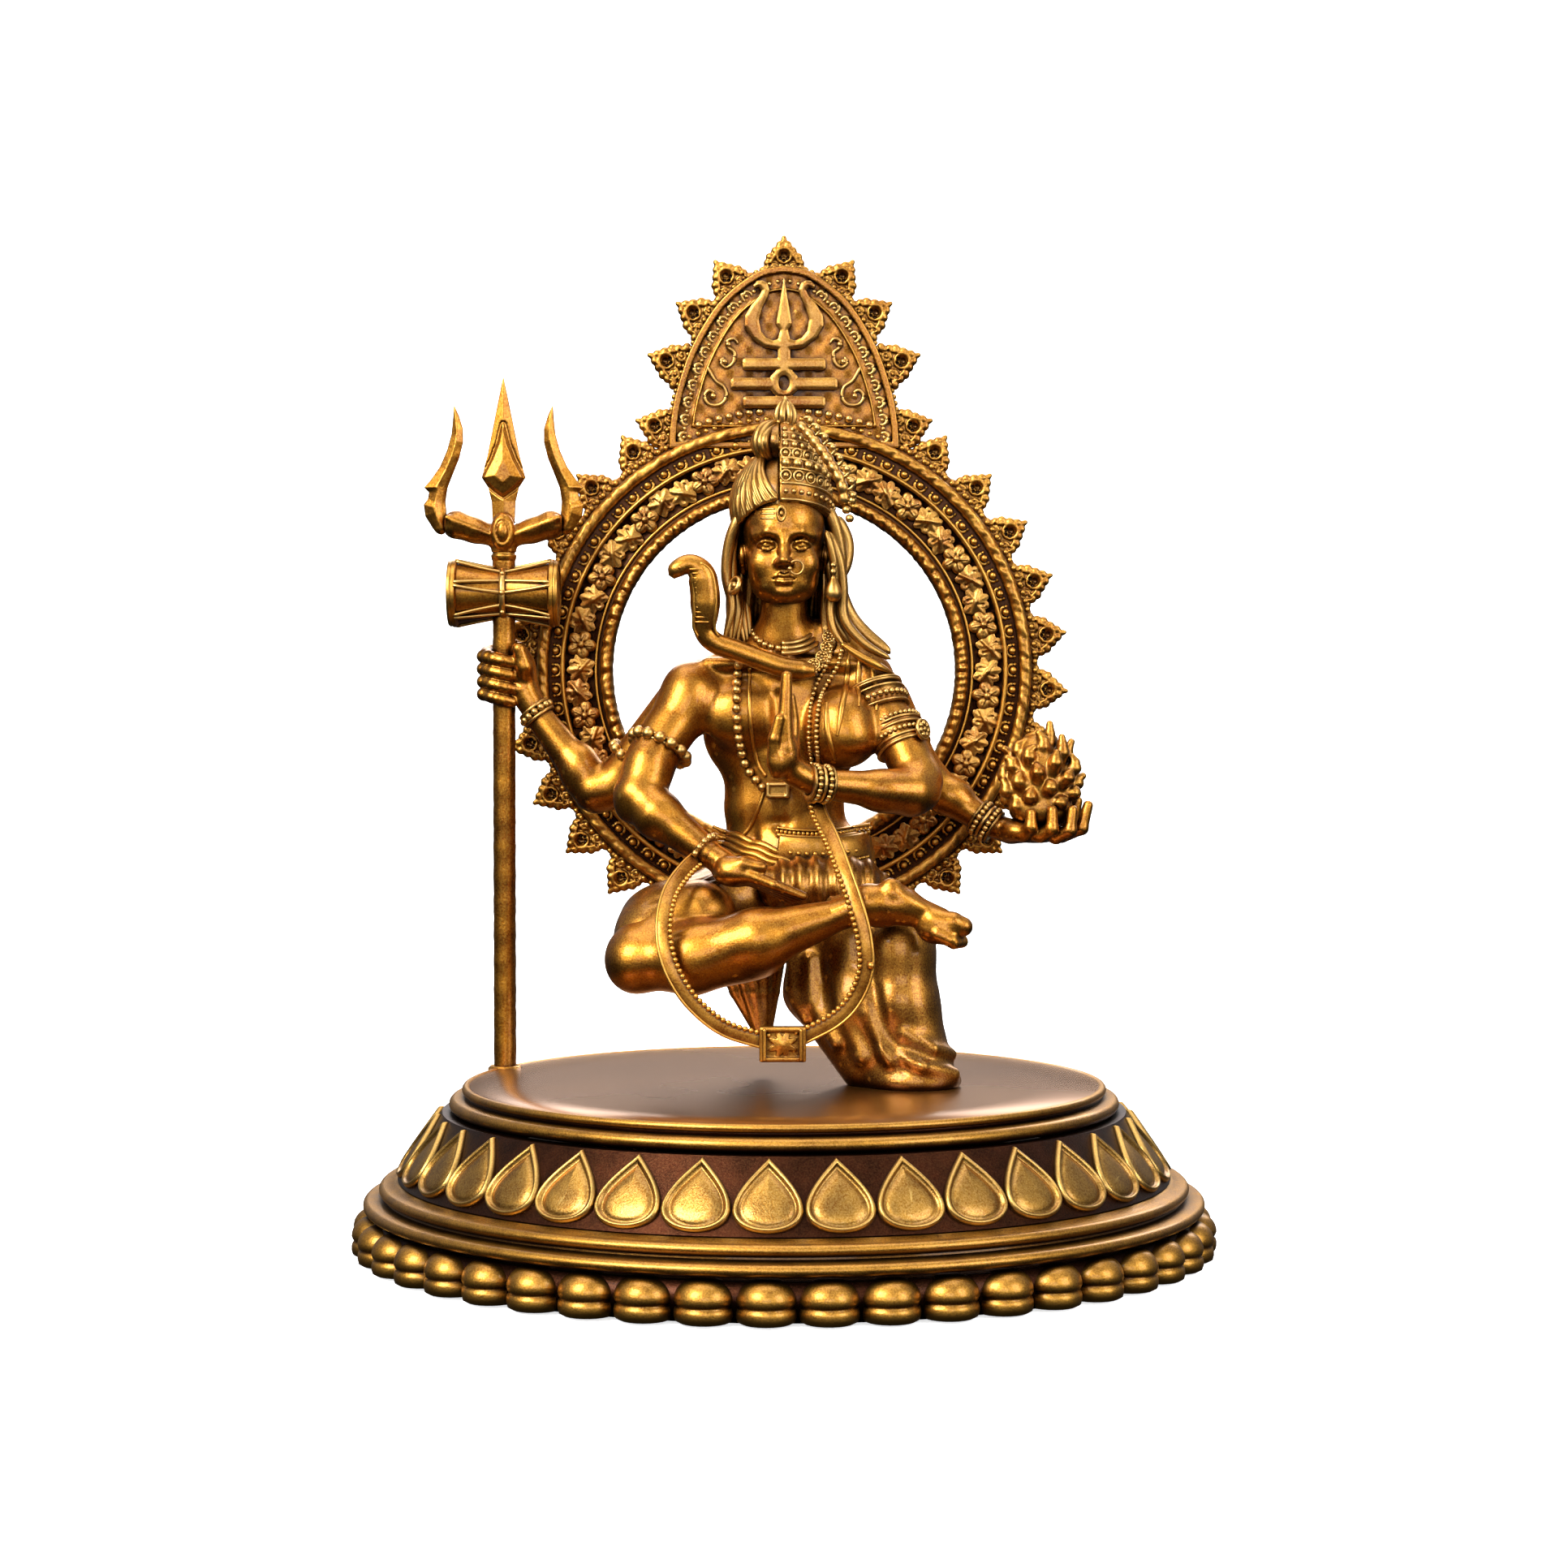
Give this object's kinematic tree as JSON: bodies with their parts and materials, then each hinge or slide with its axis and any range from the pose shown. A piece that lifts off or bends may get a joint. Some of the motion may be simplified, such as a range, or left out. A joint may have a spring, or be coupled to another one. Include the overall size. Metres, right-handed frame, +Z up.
{
  "type": "seated deity statue",
  "caption": "Seated four-armed half-and-half deity on a round lotus base, with a pierced flower halo, a lift-out trident and drum, and a flame in one hand.",
  "frame": {"origin": "centre of the felt pad's underside, where the statue stands", "axes": "+Z up, -Y out of the figure's front, +X towards its left hand, which is the viewer's right"},
  "size_m": [0.2016, 0.202, 0.2422],
  "materials": {
    "figure_gold": "antique gold with brown wash, clear gloss",
    "ornament_gold": "bright gold edges over dark wash, clear gloss",
    "drape_bronze": "brown bronze folds with gold ridges, clear gloss",
    "trident_gold": "flaked gold, clear gloss",
    "halo_gold": "gold relief on dark brown ground, clear gloss",
    "lotus_gold": "gold-brown petals on a dark band, clear gloss",
    "base_gold": "gold mouldings and beads with dark grooves",
    "disc_brown": "brown lacquered disc, mirror gloss",
    "dark_bronze": "dark brown unpolished casting",
    "steel": "plain zinc-plated steel",
    "felt": "dark green felt"
  },
  "bodies": {
    "statue": {"arch_border": "halo_gold", "arch_panel": "halo_gold", "arch_trident": "halo_gold", "armlet_front_left": "ornament_gold", "armlet_front_right": "ornament_gold", "armlet_rear_right": "ornament_gold", "base_plinth": "base_gold", "bead_rim": "base_gold", "bottom_cover": "dark_bronze", "bracelet_front_left": "ornament_gold", "bracelet_front_right": "ornament_gold", "bracelet_rear_left": "ornament_gold", "bracelet_rear_right": "ornament_gold", "cobra": "drape_bronze", "cover_screw_left": "steel", "cover_screw_right": "steel", "crossed_leg": "figure_gold", "crown": "ornament_gold", "draped_leg": "drape_bronze", "earring_left": "ornament_gold", "earring_right": "ornament_gold", "felt_pad": "felt", "figure_screw_front": "steel", "figure_screw_rear": "steel", "flame": "drape_bronze", "front_left_arm": "figure_gold", "front_left_hand": "figure_gold", "front_right_arm": "figure_gold", "garland_buckle": "ornament_gold", "garland_strap_left": "ornament_gold", "garland_strap_right": "ornament_gold", "hair": "drape_bronze", "hair_ornament": "ornament_gold", "halo_border": "halo_gold", "halo_bracket": "dark_bronze", "halo_ring": "halo_gold", "hanging_tail": "drape_bronze", "head": "figure_gold", "lotus_petal_band": "lotus_gold", "necklace_collar": "ornament_gold", "pearl_strands": "ornament_gold", "rear_left_arm": "figure_gold", "rear_left_hand": "figure_gold", "rear_right_arm": "figure_gold", "rear_right_fist": "figure_gold", "rudraksha_mala": "ornament_gold", "top_plate": "disc_brown", "topknot": "drape_bronze", "torso": "figure_gold", "trident_socket": "trident_gold", "waist_belt": "ornament_gold", "waist_sash": "drape_bronze"},
    "trident": {"trident_shaft": "trident_gold", "trident_guard": "trident_gold", "trident_blade": "trident_gold", "trident_prong_left": "trident_gold", "trident_prong_right": "trident_gold", "damaru_body": "trident_gold", "damaru_skin_left": "trident_gold", "damaru_skin_right": "trident_gold"}
  },
  "joints": [
    {"name": "trident_lift", "type": "slide", "parent": "statue", "child": "trident", "axis": [0, 0, 1], "range_m": [0, 0.108]}
  ]
}
